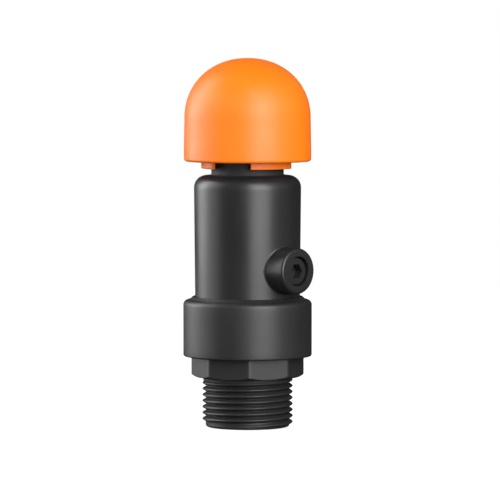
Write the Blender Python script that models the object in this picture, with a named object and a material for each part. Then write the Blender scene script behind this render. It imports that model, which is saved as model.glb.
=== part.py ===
"""Double-acting air release valve with a 1 inch male inlet thread.

Frame: origin on the valve axis at the inlet end face, +Z up along the axis.
The front of the valve faces -Y; the side port points to the front right (+X, -Y).
"""
import math

import bmesh
import bpy
from mathutils import Matrix, Vector

MM = 0.001

# ---------------------------------------------------------------- driving dimensions (mm)
# inlet thread, straight pipe thread of 1 inch, 11.5 threads per inch
THREAD_CREST_R = 16.6
THREAD_ROOT_R = 15.14
THREAD_PITCH = 2.209
THREAD_FIRST_Z = 1.80          # crest height at azimuth 0 of the first turn
THREAD_START = -0.35           # turns
THREAD_TURNS = 7.6             # the ridge ends against the shoulder under the band
THREAD_SHOULDER_R = 16.3
THREAD_SHOULDER_Z = 17.0
THREAD_CREST_W = 0.40
THREAD_HALF_ANGLE = math.radians(30.0)
INLET_BORE_R = 12.0
STUB_R = 15.4                  # plain end in front of the thread
THREAD_END_Z = 18.4            # underside of the wrench band

# wrench band and collar of the base
OCTAGON_R = 20.8               # over corners / 2
OCTAGON_TOP_Z = 26.0
OCTAGON_TURN = math.radians(-88.5)
COLLAR_R = 23.6
COLLAR_EDGE_R = 1.87
COLLAR_WALL_TOP_Z = 44.9
COLLAR_TOP_Z = 47.9
CUP_FLOOR_Z = 30.0
CUP_R = 19.55

# housing
BODY_R_LOW = 19.25
BODY_R_TOP = 19.68
BODY_TOP_Z = 92.4
BODY_IN_R = 16.9
BODY_CEILING_Z = 88.7
SHOULDER_R = 4.5
SPIGOT_BOTTOM_Z = 32.7
SPIGOT_IN_R = 15.9
ORIFICE_R = 9.5                # large orifice
NECK_R = 13.3
NECK_TOP_Z = 103.0
BEAD_R = 14.8

# side port
PORT_Z = 58.2
PORT_AZ = math.radians(-45.0)
BOSS_R = 8.4
BOSS_FACE = 26.2               # distance of the face from the valve axis
PLUG_FACE = 25.1
PLUG_PITCH = 0.907

# hood
DOME_R = 23.15
DOME_RIM_R = 23.35
DOME_RIM_Z = 97.5
DOME_TANGENT_Z = 113.25
DOME_RISE = 22.05
DOME_POWER = 2.1               # exponent of the crown's section, 2 for an ellipse
DOME_WALL = 1.8
LEG_CENTRES = (-52.25, 67.75, 187.75)   # degrees about Z
LEG_SPAN = 67.5
HOOK_SPAN = 44.0
LEG_IN_R = 15.6
LEG_OUT_R = 17.0
LEG_BOTTOM_Z = 94.9

# working parts
DISC_LIFT = 8.0
FLOAT_LOST_MOTION = 2.5
FLOAT_R = 13.5
CAGE_IN_R = 13.85
CAGE_OUT_R = 15.3
GAP = 0.3

SEG_BIG = 36
SEG_MID = 28
SEG_SMALL = 16
SEG_TINY = 8


# ---------------------------------------------------------------- helpers
def clear_scene():
    for obj in list(bpy.data.objects):
        bpy.data.objects.remove(obj, do_unlink=True)


def plastic(name, colour, roughness, metallic=0.0):
    mat = bpy.data.materials.new(name)
    mat.use_nodes = True
    bsdf = mat.node_tree.nodes["Principled BSDF"]
    bsdf.inputs["Base Color"].default_value = (*colour, 1.0)
    bsdf.inputs["Roughness"].default_value = roughness
    bsdf.inputs["Metallic"].default_value = metallic
    return mat


def revolve(bm, profile, segments, start=0.0):
    """Full turn of a closed (r, z) profile about Z; r = 0 points become poles."""
    columns = []
    for i in range(segments):
        a = start + 2.0 * math.pi * i / segments
        columns.append((math.cos(a), math.sin(a)))
    rings = []
    for r, z in profile:
        if r < 1e-6:
            rings.append([bm.verts.new((0.0, 0.0, z * MM))])
        else:
            rings.append([bm.verts.new((r * c * MM, r * s * MM, z * MM)) for c, s in columns])
    faces = []
    count = len(profile)
    for k in range(count):
        a, b = rings[k], rings[(k + 1) % count]
        if len(a) == 1 and len(b) == 1:
            continue
        for i in range(segments):
            j = (i + 1) % segments
            if len(a) == 1:
                loop = (a[0], b[i], b[j])
            elif len(b) == 1:
                loop = (a[i], b[0], a[j])
            else:
                loop = (a[i], b[i], b[j], a[j])
            faces.append(bm.faces.new(loop))
    return faces


def sweep_arc(bm, profile, centre_deg, span_deg, steps):
    """Part turn of a closed (r, z) profile about Z, capped at both ends."""
    rings = []
    for i in range(steps + 1):
        a = math.radians(centre_deg - span_deg / 2.0 + span_deg * i / steps)
        rings.append([bm.verts.new((r * math.cos(a) * MM, r * math.sin(a) * MM, z * MM))
                      for r, z in profile])
    count = len(profile)
    for i in range(steps):
        for k in range(count):
            m = (k + 1) % count
            bm.faces.new((rings[i][k], rings[i][m], rings[i + 1][m], rings[i + 1][k]))
    bm.faces.new(rings[0])
    bm.faces.new(rings[-1][::-1])


def box(bm, low, high, turn_deg=0.0):
    corners = [Vector((x, y, z)) * MM for x in (low[0], high[0])
               for y in (low[1], high[1]) for z in (low[2], high[2])]
    rot = Matrix.Rotation(math.radians(turn_deg), 3, "Z")
    v = [bm.verts.new(rot @ c) for c in corners]
    for loop in ((0, 1, 3, 2), (4, 6, 7, 5), (0, 4, 5, 1), (2, 3, 7, 6), (0, 2, 6, 4), (1, 5, 7, 3)):
        bm.faces.new([v[i] for i in loop])


def extrude_outline(bm, outline, z_low, z_high):
    low = [bm.verts.new((x * MM, y * MM, z_low * MM)) for x, y in outline]
    high = [bm.verts.new((x * MM, y * MM, z_high * MM)) for x, y in outline]
    n = len(outline)
    for i in range(n):
        j = (i + 1) % n
        bm.faces.new((low[i], low[j], high[j], high[i]))
    bm.faces.new(low[::-1])
    bm.faces.new(high)


def arc_points(cx, cz, radius, a0, a1, steps):
    return [(cx + radius * math.cos(math.radians(a0 + (a1 - a0) * i / steps)),
             cz + radius * math.sin(math.radians(a0 + (a1 - a0) * i / steps)))
            for i in range(steps + 1)]


def make_object(name, fill, material=None, parent=None, origin=(0.0, 0.0, 0.0), aim=None):
    """Mesh object from a filling function. origin is in mm. The filling function works in
    valve coordinates, or, where aim is given, in the coordinates of that port frame."""
    bm = bmesh.new()
    fill(bm)
    bmesh.ops.recalc_face_normals(bm, faces=bm.faces[:])
    offset = Vector(origin) * MM
    if aim is None:
        bmesh.ops.translate(bm, vec=-offset, verts=bm.verts[:])
    mesh = bpy.data.meshes.new(name)
    bm.to_mesh(mesh)
    bm.free()
    mesh.shade_smooth()
    mesh.set_sharp_from_angle(angle=math.radians(32.0))
    obj = bpy.data.objects.new(name, mesh)
    bpy.context.scene.collection.objects.link(obj)
    if parent is not None:
        obj.parent = parent
        obj.location = offset - parent.matrix_world.translation
    else:
        obj.location = offset
    if aim is not None:
        obj.rotation_euler = aim
    if material is not None:
        mesh.materials.append(material)
    bpy.context.view_layer.update()
    return obj


def guide(name, fill, origin=(0.0, 0.0, 0.0), aim=None):
    obj = make_object(name, fill, origin=origin, aim=aim)
    obj.hide_render = True
    obj.display_type = "WIRE"
    return obj


def combine(obj, other, operation):
    mod = obj.modifiers.new(operation.lower() + "_" + other.name, "BOOLEAN")
    mod.operation = operation
    mod.solver = "EXACT"
    mod.object = other
    return mod


def empty(name, origin, parent=None):
    obj = bpy.data.objects.new(name, None)
    obj.empty_display_size = 0.01
    bpy.context.scene.collection.objects.link(obj)
    obj.parent = parent
    obj.location = Vector(origin) * MM
    if parent is not None:
        obj.location -= parent.matrix_world.translation
    bpy.context.view_layer.update()
    return obj


# ---------------------------------------------------------------- base
def base_profile():
    outer = [(INLET_BORE_R, 0.0), (14.6, 0.0), (STUB_R, 0.8), (STUB_R, 1.5), (THREAD_ROOT_R, 1.8),
             (THREAD_ROOT_R, THREAD_SHOULDER_Z - 0.8), (THREAD_SHOULDER_R, THREAD_SHOULDER_Z),
             (THREAD_SHOULDER_R, THREAD_END_Z + 0.3), (18.8, THREAD_END_Z + 0.3),
             (18.8, OCTAGON_TOP_Z), (23.0, OCTAGON_TOP_Z)]
    outer += [(23.42, OCTAGON_TOP_Z + 0.18), (COLLAR_R, OCTAGON_TOP_Z + 0.6)]
    outer += arc_points(COLLAR_R - COLLAR_EDGE_R, COLLAR_WALL_TOP_Z, COLLAR_EDGE_R, 0.0, 73.4, 3)
    outer += [(21.15, 47.03), (20.2, COLLAR_TOP_Z)]
    inner = [(CUP_R + 0.2, COLLAR_TOP_Z), (CUP_R, COLLAR_TOP_Z - 0.3), (CUP_R, CUP_FLOOR_Z),
             (INLET_BORE_R, CUP_FLOOR_Z)]
    return outer + inner


def fill_thread(bm):
    """Single-start right-hand ridge that fades out at both ends."""
    per_turn = 24
    start, stop = THREAD_START, THREAD_TURNS
    steps = int(round((stop - start) * per_turn))
    inner_r = 14.95
    rings = []
    for i in range(steps + 1):
        turn = start + (stop - start) * i / steps
        a = 2.0 * math.pi * turn
        z = THREAD_FIRST_Z + THREAD_PITCH * turn
        fade = min(1.0, (turn - start) / 0.35, (stop - turn) / 0.35)
        crest = inner_r + 0.05 + (THREAD_CREST_R - inner_r - 0.05) * fade
        half_c = THREAD_CREST_W / 2.0
        half_r = half_c + (crest - inner_r) * math.tan(THREAD_HALF_ANGLE)
        section = [(inner_r, z - half_r), (crest, z - half_c), (crest, z + half_c), (inner_r, z + half_r)]
        rings.append([bm.verts.new((r * math.cos(a) * MM, r * math.sin(a) * MM, h * MM))
                      for r, h in section])
    for i in range(steps):
        for k in range(4):
            m = (k + 1) % 4
            bm.faces.new((rings[i][k], rings[i][m], rings[i + 1][m], rings[i + 1][k]))
    bm.faces.new(rings[0])
    bm.faces.new(rings[-1][::-1])


def fill_octagon(bm):
    outline = [(OCTAGON_R * math.cos(OCTAGON_TURN + math.pi * k / 4.0),
                OCTAGON_R * math.sin(OCTAGON_TURN + math.pi * k / 4.0)) for k in range(8)]
    extrude_outline(bm, outline, THREAD_END_Z, OCTAGON_TOP_Z + 0.35)


def fill_octagon_cone(bm):
    revolve(bm, [(0.0, THREAD_END_Z - 1.5), (16.6, THREAD_END_Z - 1.5), (21.8, THREAD_END_Z + 1.5),
                 (21.8, 28.5), (0.0, 28.5)], SEG_BIG)


def fill_octagon_core(bm):
    revolve(bm, [(0.0, 16.0), (13.5, 16.0), (13.5, 30.0), (0.0, 30.0)], SEG_MID)


def build_base(mat):
    octagon = guide("guide_octagon", fill_octagon)
    combine(octagon, guide("guide_octagon_cone", fill_octagon_cone), "INTERSECT")
    combine(octagon, guide("guide_octagon_core", fill_octagon_core), "DIFFERENCE")
    base = make_object("base", lambda bm: revolve(bm, base_profile(), SEG_BIG), mat)
    combine(base, octagon, "UNION")
    combine(base, guide("guide_thread", fill_thread), "UNION")
    return base


# ---------------------------------------------------------------- body
def body_profile():
    prof = [(SPIGOT_IN_R, SPIGOT_BOTTOM_Z), (19.2, SPIGOT_BOTTOM_Z), (19.2, 34.0), (17.5, 34.0),
            (17.5, 37.0), (19.2, 37.0), (BODY_R_LOW, 49.0), (BODY_R_TOP, BODY_TOP_Z - SHOULDER_R)]
    prof += arc_points(BODY_R_TOP - SHOULDER_R, BODY_TOP_Z - SHOULDER_R, SHOULDER_R, 18.0, 90.0, 4)
    prof += [(14.3, BODY_TOP_Z), (NECK_R + 0.3, BODY_TOP_Z + 0.35), (NECK_R, BODY_TOP_Z + 1.1),
             (NECK_R, 98.6), (BEAD_R, 99.6), (BEAD_R, 100.6), (13.7, NECK_TOP_Z),
             (12.0, NECK_TOP_Z), (12.0, 100.6), (11.2, 100.6), (11.2, 92.6), (ORIFICE_R, 91.2),
             (ORIFICE_R, BODY_CEILING_Z), (BODY_IN_R, BODY_CEILING_Z), (BODY_IN_R, 87.0),
             (17.5, 87.0), (17.5, 85.6), (BODY_IN_R, 85.6), (BODY_IN_R, 49.6), (SPIGOT_IN_R, 48.6)]
    return prof


def fill_boss(bm):
    revolve(bm, [(0.0, 17.0), (BOSS_R + 0.55, 17.0), (BOSS_R + 0.55, 17.8), (BOSS_R + 0.2, 18.6), (BOSS_R, 19.4),
                 (BOSS_R, BOSS_FACE - 0.7), (BOSS_R - 0.3, BOSS_FACE - 0.2), (BOSS_R - 0.8, BOSS_FACE),
                 (0.0, BOSS_FACE)], 28)


def fill_port_bore(bm):
    revolve(bm, [(0.0, 14.6), (4.75, 14.6), (4.75, 22.4), (5.3, 22.4), (5.3, 25.9), (5.75, 26.35),
                 (5.75, 27.6), (0.0, 27.6)], 24)


def fill_body_ribs(bm):
    for k in range(4):
        box(bm, (15.05, -0.8, 74.0), (17.6, 0.8, 84.4), 45.0 + 90.0 * k)


PORT_AIM = (0.0, math.pi / 2.0, PORT_AZ)
PORT_ORIGIN = (0.0, 0.0, PORT_Z)


def build_body(mat):
    body = make_object("body", lambda bm: revolve(bm, body_profile(), SEG_BIG), mat)
    combine(body, guide("guide_boss", fill_boss, PORT_ORIGIN, PORT_AIM), "UNION")
    combine(body, guide("guide_ribs", fill_body_ribs), "UNION")
    combine(body, guide("guide_port_bore", fill_port_bore, PORT_ORIGIN, PORT_AIM), "DIFFERENCE")
    return body


# ---------------------------------------------------------------- hood
def dome_points(r_max, rise, steps, r_stop=0.0):
    """Quarter of the crown's section from the tangent line to the top."""
    pts = []
    for i in range(steps + 1):
        a = math.pi / 2.0 * i / steps
        r = r_max * max(0.0, math.cos(a)) ** (2.0 / DOME_POWER)
        z = DOME_TANGENT_Z + rise * math.sin(a) ** (2.0 / DOME_POWER)
        pts.append((max(r, r_stop) if i < steps else 0.0, z))
    return pts


def hood_profile():
    inner_r = DOME_R - DOME_WALL
    outer = [(21.75, DOME_RIM_Z), (22.4, DOME_RIM_Z), (22.97, DOME_RIM_Z + 0.22),
             (DOME_RIM_R, DOME_RIM_Z + 0.95)]
    outer += dome_points(DOME_R, DOME_RISE, 8)
    inner = dome_points(inner_r, DOME_RISE - DOME_WALL, 7)[::-1]
    inner += [(inner_r + 0.15, DOME_RIM_Z + 0.3)]
    return outer + inner


def fill_legs(bm):
    profile = [(LEG_IN_R, LEG_BOTTOM_Z), (16.7, LEG_BOTTOM_Z), (LEG_OUT_R, LEG_BOTTOM_Z + 0.4),
               (LEG_OUT_R, 127.3), (LEG_IN_R, 128.7)]
    for centre in LEG_CENTRES:
        sweep_arc(bm, profile, centre, LEG_SPAN, 6)


def fill_hooks(bm):
    """Hooks under the neck bead and stops over the neck, on the inner side of the legs."""
    overlap_r = LEG_IN_R + 0.4
    for centre in LEG_CENTRES:
        sweep_arc(bm, [(overlap_r, 95.3), (15.0, 95.3), (13.7, 96.6), (13.7, 98.1), (overlap_r, 98.3)],
                  centre, HOOK_SPAN, 4)
        sweep_arc(bm, [(overlap_r, NECK_TOP_Z + GAP), (12.8, NECK_TOP_Z + GAP), (12.8, 105.0),
                       (overlap_r, 105.4)], centre, HOOK_SPAN, 4)


def build_hood(mat, parent):
    hood = make_object("dome_cap", lambda bm: revolve(bm, hood_profile(), SEG_BIG), mat, parent,
                       (0.0, 0.0, DOME_RIM_Z))
    combine(hood, guide("guide_legs", fill_legs), "UNION")
    combine(hood, guide("guide_hooks", fill_hooks), "UNION")
    return hood


# ---------------------------------------------------------------- fixed inner pieces
def ring_section(major, minor, z, steps):
    return [(major + minor * math.cos(2.0 * math.pi * k / steps),
             z + minor * math.sin(2.0 * math.pi * k / steps)) for k in range(steps)]


def fill_cage_rings(bm):
    revolve(bm, [(CAGE_IN_R, 51.0), (CAGE_OUT_R, 51.0), (CAGE_OUT_R, 53.0), (CAGE_IN_R, 53.0)], SEG_MID)
    revolve(bm, [(CAGE_IN_R, 71.2), (CAGE_OUT_R, 71.2), (CAGE_OUT_R, 73.4), (CAGE_IN_R, 73.4)], SEG_MID)


def fill_cage_ribs(bm):
    for k in range(4):
        box(bm, (14.0, -1.5, 31.0), (15.15, 1.5, 72.6), 90.0 * k)
    w, reach = 1.0, 13.2
    plus = [(reach, -w), (reach, w), (w, w), (w, reach), (-w, reach), (-w, w), (-reach, w),
            (-reach, -w), (-w, -w), (-w, -reach), (w, -reach), (w, -w)]
    extrude_outline(bm, plus, 30.6, 32.1)


def build_cage(mat):
    flange = [(12.3, CUP_FLOOR_Z + GAP), (19.3, CUP_FLOOR_Z + GAP), (19.3, 32.4), (12.3, 32.4)]
    cage = make_object("float_cage", lambda bm: revolve(bm, flange, SEG_MID), mat)
    combine(cage, guide("guide_cage_rings", fill_cage_rings), "UNION")
    combine(cage, guide("guide_cage_ribs", fill_cage_ribs), "UNION")
    return cage


def fill_guard_bars(bm):
    w, reach = 0.6, 10.9
    plus = [(reach, -w), (reach, w), (w, w), (w, reach), (-w, reach), (-w, w), (-reach, w),
            (-reach, -w), (-w, -w), (-w, -reach), (w, -reach), (w, -w)]
    extrude_outline(bm, plus, 101.2, 102.2)


def build_guard(mat):
    ring = [(10.6, 100.9), (11.7, 100.9), (11.7, 102.6), (10.6, 102.6)]
    guard = make_object("vent_guard", lambda bm: revolve(bm, ring, SEG_MID), mat)
    combine(guard, guide("guide_guard_bars", fill_guard_bars), "UNION")
    return guard


def fill_orifice_seal(bm):
    revolve(bm, [(9.8, 86.9), (10.3, 86.4), (14.2, 86.4), (14.2, 88.4), (9.8, 88.4)], SEG_MID)


def fill_seal_retainer(bm):
    revolve(bm, [(12.5, 84.8), (16.4, 84.8), (16.6, 85.2), (16.6, 85.9), (17.2, 86.2), (17.2, 86.7),
                 (16.6, 86.7), (16.6, 88.4), (14.5, 88.4), (14.5, 86.1), (12.5, 86.1)], SEG_MID)


def fill_body_oring(bm):
    revolve(bm, ring_section(18.5, 0.83, 35.5, 6), SEG_MID)


# ---------------------------------------------------------------- disc assembly
def fill_disc(bm):
    revolve(bm, [(4.3, 73.7), (14.4, 73.7), (14.7, 74.0), (14.7, 75.4), (14.4, 75.7), (12.7, 75.9),
                 (12.2, 76.5), (12.2, 77.8), (11.8, 78.2), (2.9, 78.2), (2.9, 75.0), (4.3, 75.0)],
            SEG_MID)


def screw_holes(radius, pitch_r, z_low, z_high):
    def fill(bm):
        for k in range(3):
            a = math.radians(SCREW_START + 120.0 * k)
            cx, cy = pitch_r * math.cos(a), pitch_r * math.sin(a)
            outline = [(cx + radius * math.cos(2.0 * math.pi * i / SEG_TINY),
                        cy + radius * math.sin(2.0 * math.pi * i / SEG_TINY))
                       for i in range(SEG_TINY)]
            extrude_outline(bm, outline, z_low, z_high)
    return fill


SCREW_START = 30.0
HANGER_SCREW_R = 9.4
STEM_SCREW_R = 4.7


def build_disc(mat, parent):
    disc = make_object("seal_disc", fill_disc, mat, parent, (0.0, 0.0, 73.7))
    combine(disc, guide("guide_disc_holes", screw_holes(1.15, HANGER_SCREW_R, 72.0, 77.0)), "DIFFERENCE")
    return disc


def fill_nozzle(bm):
    revolve(bm, [(0.8, 71.8), (1.2, 71.8), (1.5, 72.1), (1.5, 72.5), (4.0, 72.5), (4.0, 73.4),
                 (2.6, 73.4), (2.6, 78.0), (0.8, 78.0)], SEG_SMALL)


def fill_nozzle_oring(bm):
    revolve(bm, ring_section(3.45, 0.5, 74.25, 6), SEG_SMALL)


def fill_hanger_floor(bm):
    revolve(bm, [(3.3, 62.8), (7.7, 62.8), (8.0, 63.1), (8.0, 64.6), (3.3, 64.6)], SEG_MID)


def fill_hanger_flange(bm):
    revolve(bm, [(6.2, 71.6), (11.2, 71.6), (11.2, 73.4), (6.2, 73.4)], SEG_MID)


def fill_hanger_legs(bm):
    for k in range(3):
        sweep_arc(bm, [(6.3, 64.0), (7.9, 64.0), (7.9, 72.2), (6.3, 72.2)],
                  SCREW_START + 60.0 + 120.0 * k, 56.0, 4)


def build_hanger(mat, parent):
    hanger = make_object("hanger", fill_hanger_floor, mat, parent, (0.0, 0.0, 73.4))
    combine(hanger, guide("guide_hanger_legs", fill_hanger_legs), "UNION")
    combine(hanger, guide("guide_hanger_flange", fill_hanger_flange), "UNION")
    combine(hanger, guide("guide_hanger_holes", screw_holes(1.15, HANGER_SCREW_R, 70.0, 75.0)),
            "DIFFERENCE")
    return hanger


def screw_profile(head_r, head_z0, head_z1, shank_r, tip_z):
    """Section of a pan-head screw; the head lies between head_z0 and head_z1."""
    if tip_z > head_z1:
        return [(0.0, head_z0), (head_r - 0.35, head_z0), (head_r, head_z0 + 0.35), (head_r, head_z1),
                (shank_r, head_z1), (shank_r, tip_z - 0.5), (0.0, tip_z)]
    return [(0.0, tip_z), (shank_r, tip_z + 0.5), (shank_r, head_z0), (head_r, head_z0),
            (head_r, head_z1 - 0.35), (head_r - 0.35, head_z1), (0.0, head_z1)]


def build_screws(prefix, mat, parent, profile, pitch_r, z_origin):
    for k in range(3):
        a = math.radians(SCREW_START + 120.0 * k)

        def fill(bm, a=a):
            revolve(bm, profile, SEG_TINY)
            bmesh.ops.translate(bm, verts=bm.verts[:],
                                vec=(pitch_r * math.cos(a) * MM, pitch_r * math.sin(a) * MM, 0.0))
        make_object("%s_%d" % (prefix, k + 1), fill, mat, parent,
                    (pitch_r * math.cos(a), pitch_r * math.sin(a), z_origin))


# ---------------------------------------------------------------- float assembly
def fill_float(bm):
    prof = [(0.0, 33.4), (8.0, 33.1), (12.2, 32.7), (13.1, 33.0), (FLOAT_R, 33.9), (FLOAT_R, 66.0),
            (13.1, 66.9), (12.4, 67.2), (9.6, 67.2), (9.0, 66.6), (9.0, 56.5), (0.0, 56.5)]
    revolve(bm, prof, SEG_MID)


def fill_stem(bm):
    revolve(bm, [(0.0, 56.8), (6.4, 56.8), (6.4, 58.4), (3.2, 58.4), (2.9, 58.9), (2.9, 64.9),
                 (5.6, 64.9), (5.6, 66.7), (3.6, 66.7), (3.6, 67.9), (2.8, 67.9), (2.8, 66.6),
                 (0.0, 66.6)], SEG_SMALL + 4)


def fill_pad(bm):
    revolve(bm, [(0.0, 66.9), (2.45, 66.9), (2.45, 67.9), (1.6, 67.9), (1.6, 69.1), (0.0, 69.1)],
            SEG_SMALL)


def fill_pad_retainer(bm):
    revolve(bm, [(3.9, 67.0), (4.7, 67.0), (4.7, 68.6), (4.5, 68.8), (1.9, 68.8), (1.9, 68.2),
                 (3.9, 68.2)], SEG_SMALL + 4)


def build_float(mat, parent):
    flt = make_object("float", fill_float, mat, parent, (0.0, 0.0, 32.7))
    combine(flt, guide("guide_float_holes", screw_holes(1.0, STEM_SCREW_R, 51.0, 57.5)), "DIFFERENCE")
    return flt


def build_stem(mat, parent):
    stem = make_object("float_stem", fill_stem, mat, parent, (0.0, 0.0, 56.8))
    combine(stem, guide("guide_stem_holes", screw_holes(1.0, STEM_SCREW_R, 56.0, 59.2)), "DIFFERENCE")
    return stem


# ---------------------------------------------------------------- port plug
def fill_plug(bm):
    revolve(bm, [(0.0, 17.2), (4.0, 17.2), (4.45, 17.7), (4.45, 22.4), (3.7, 22.4), (3.7, 24.1),
                 (5.0, 24.1), (5.0, PLUG_FACE - 0.3), (4.7, PLUG_FACE), (0.0, PLUG_FACE)], 24)


def fill_plug_socket(bm):
    across = 5.0
    r = across / math.sqrt(3.0)
    outline = [(r * math.cos(math.pi / 6.0 + math.pi * k / 3.0),
                r * math.sin(math.pi / 6.0 + math.pi * k / 3.0)) for k in range(6)]
    extrude_outline(bm, outline, 21.9, 27.0)


def fill_plug_oring(bm):
    revolve(bm, ring_section(4.5, 0.62, 23.25, 6), 20)


# ---------------------------------------------------------------- assembly
def build():
    clear_scene()
    black = plastic("glass_filled_nylon_black", (0.035, 0.034, 0.037), 0.42)
    orange = plastic("polypropylene_orange", (0.95, 0.26, 0.03), 0.38)
    grey = plastic("acetal_natural", (0.62, 0.61, 0.57), 0.40)
    foam = plastic("foamed_polypropylene", (0.78, 0.77, 0.73), 0.60)
    rubber = plastic("epdm_rubber", (0.018, 0.018, 0.018), 0.62)
    steel = plastic("stainless_steel", (0.60, 0.60, 0.58), 0.30, 1.0)
    brass = plastic("nozzle_brass", (0.72, 0.52, 0.22), 0.28, 1.0)

    root = empty("valve_axis", (0.0, 0.0, 0.0))
    cap_axis = empty("cap_axis", (0.0, 0.0, DOME_RIM_Z), root)
    disc_slide = empty("disc_slide", (0.0, 0.0, 73.7), root)
    float_slide = empty("float_slide", (0.0, 0.0, 32.7), disc_slide)
    plug_axis = empty("plug_axis", PORT_ORIGIN, root)

    build_base(black)
    build_body(black)
    make_object("body_oring", fill_body_oring, rubber)
    build_cage(grey)
    make_object("orifice_seal", fill_orifice_seal, rubber)
    make_object("seal_retainer", fill_seal_retainer, grey)
    build_guard(grey)

    build_hood(orange, cap_axis)

    build_disc(grey, disc_slide)
    make_object("nozzle", fill_nozzle, brass, disc_slide, (0.0, 0.0, 71.8))
    make_object("nozzle_oring", fill_nozzle_oring, rubber, disc_slide, (0.0, 0.0, 74.25))
    build_hanger(grey, disc_slide)
    build_screws("hanger_screw", steel, disc_slide, screw_profile(1.9, 70.2, 71.4, 0.85, 76.6),
                 HANGER_SCREW_R, 71.4)

    build_float(foam, float_slide)
    build_stem(grey, float_slide)
    build_screws("stem_screw", steel, float_slide, screw_profile(1.4, 58.6, 59.5, 0.7, 51.6),
                 STEM_SCREW_R, 58.6)
    make_object("nozzle_pad", fill_pad, rubber, float_slide, (0.0, 0.0, 66.9))
    make_object("pad_retainer", fill_pad_retainer, grey, float_slide, (0.0, 0.0, 67.0))

    plug = make_object("port_plug", fill_plug, black, plug_axis, PORT_ORIGIN, PORT_AIM)
    combine(plug, guide("guide_plug_socket", fill_plug_socket, PORT_ORIGIN, PORT_AIM), "DIFFERENCE")
    make_object("port_plug_oring", fill_plug_oring, rubber, plug_axis, PORT_ORIGIN, PORT_AIM)


build()
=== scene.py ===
import math

import bmesh
import bpy
from mathutils import Matrix, Vector


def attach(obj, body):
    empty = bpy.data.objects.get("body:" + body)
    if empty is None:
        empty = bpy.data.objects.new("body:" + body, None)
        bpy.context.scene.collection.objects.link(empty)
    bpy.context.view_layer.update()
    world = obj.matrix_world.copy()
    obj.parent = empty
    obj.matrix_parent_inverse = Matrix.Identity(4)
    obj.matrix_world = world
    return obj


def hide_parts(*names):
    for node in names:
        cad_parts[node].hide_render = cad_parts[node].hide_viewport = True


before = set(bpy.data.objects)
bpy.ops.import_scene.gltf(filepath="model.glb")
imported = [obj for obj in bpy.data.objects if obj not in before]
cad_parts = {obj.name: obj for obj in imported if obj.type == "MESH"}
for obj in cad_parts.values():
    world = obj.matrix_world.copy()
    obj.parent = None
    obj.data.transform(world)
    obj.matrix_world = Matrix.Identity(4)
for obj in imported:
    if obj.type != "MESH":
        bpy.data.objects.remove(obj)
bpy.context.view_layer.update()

MM = 0.001
RAD = math.radians

# ------------------------------------------------------------------ dimensions (mm)
THREAD_CREST_R, THREAD_ROOT_R, THREAD_PITCH = 16.6, 15.14, 2.209
THREAD_FIRST_Z, THREAD_START, THREAD_TURNS = 1.80, -0.35, 7.6
BORE_R, STUB_R = 12.0, 15.4
OCTAGON_R, OCTAGON_LOW, OCTAGON_HIGH, OCTAGON_TURN = 20.8, 18.4, 26.0, RAD(-88.5)
COLLAR_R, COLLAR_TOP, CUP_R, CUP_FLOOR = 23.6, 47.9, 19.55, 30.0
BODY_R_LOW, BODY_R_TOP, BODY_TOP, BODY_IN_R, CEILING = 19.25, 19.68, 92.4, 16.9, 88.7
SHOULDER_R = 4.5
NECK_R, NECK_TOP, BEAD_R, ORIFICE_R = 13.3, 103.0, 14.8, 9.5
PORT_Z, PORT_AZ, BOSS_R, BOSS_FACE = 58.2, RAD(-45.0), 8.4, 26.2
DOME_R, DOME_RIM_R, RIM_Z, TANGENT_Z, RISE, DOME_POWER, WALL = 23.15, 23.35, 97.5, 113.25, 22.05, 2.1, 1.8
LEG_CENTRES, LEG_SPAN, HOOK_SPAN = (-52.25, 67.75, 187.75), 67.5, 44.0
PORT_FRAME = Matrix.Translation((0.0, 0.0, PORT_Z * MM)) @ Matrix.Rotation(PORT_AZ, 4, "Z") \
    @ Matrix.Rotation(math.pi / 2.0, 4, "Y")


# ------------------------------------------------------------------ mesh tools
def rounded(points, step_deg=11.0, max_len=None):
    """Closed section with filleted corners. points are (r, z) or (r, z, fillet)."""
    n = len(points)
    plan = [Vector(p[:2]) for p in points]
    want = []
    for i in range(n):
        rad = points[i][2] if len(points[i]) > 2 else 0.0
        da, db = plan[i - 1] - plan[i], plan[(i + 1) % n] - plan[i]
        if rad <= 0.0 or da.length < 1e-6 or db.length < 1e-6:
            want.append((0.0, 0.0))
            continue
        half = math.acos(max(-1.0, min(1.0, da.normalized().dot(db.normalized())))) / 2.0
        want.append((0.0, 0.0) if half > RAD(89.0) or half < RAD(2.0) else (rad / math.tan(half), half))
    out = []
    for i in range(n):
        p, (t, half) = plan[i], want[i]
        if t <= 0.0:
            out.append(tuple(p))
            continue
        da, db = plan[i - 1] - p, plan[(i + 1) % n] - p
        room_a = 0.96 * da.length * t / (t + want[i - 1][0])
        room_b = 0.96 * db.length * t / (t + want[(i + 1) % n][0])
        t = min(t, room_a, room_b)
        da, db = da.normalized(), db.normalized()
        rad = t * math.tan(half)
        centre = p + (da + db).normalized() * (rad / math.sin(half))
        s, e = p + da * t - centre, p + db * t - centre
        turn = math.pi - 2.0 * half
        steps = max(2, int(math.ceil(math.degrees(turn) / step_deg)))
        sign = 1.0 if s.x * e.y - s.y * e.x > 0.0 else -1.0
        for k in range(steps + 1):
            c, w = math.cos(sign * turn * k / steps), math.sin(sign * turn * k / steps)
            out.append((centre.x + s.x * c - s.y * w, centre.y + s.x * w + s.y * c))
    if max_len:
        fine = []
        for i, p in enumerate(out):
            q = out[(i + 1) % len(out)]
            parts = max(1, int(math.ceil(math.dist(p, q) / max_len)))
            fine += [(p[0] + (q[0] - p[0]) * k / parts, p[1] + (q[1] - p[1]) * k / parts)
                     for k in range(parts)]
        out = fine
    return out


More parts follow.
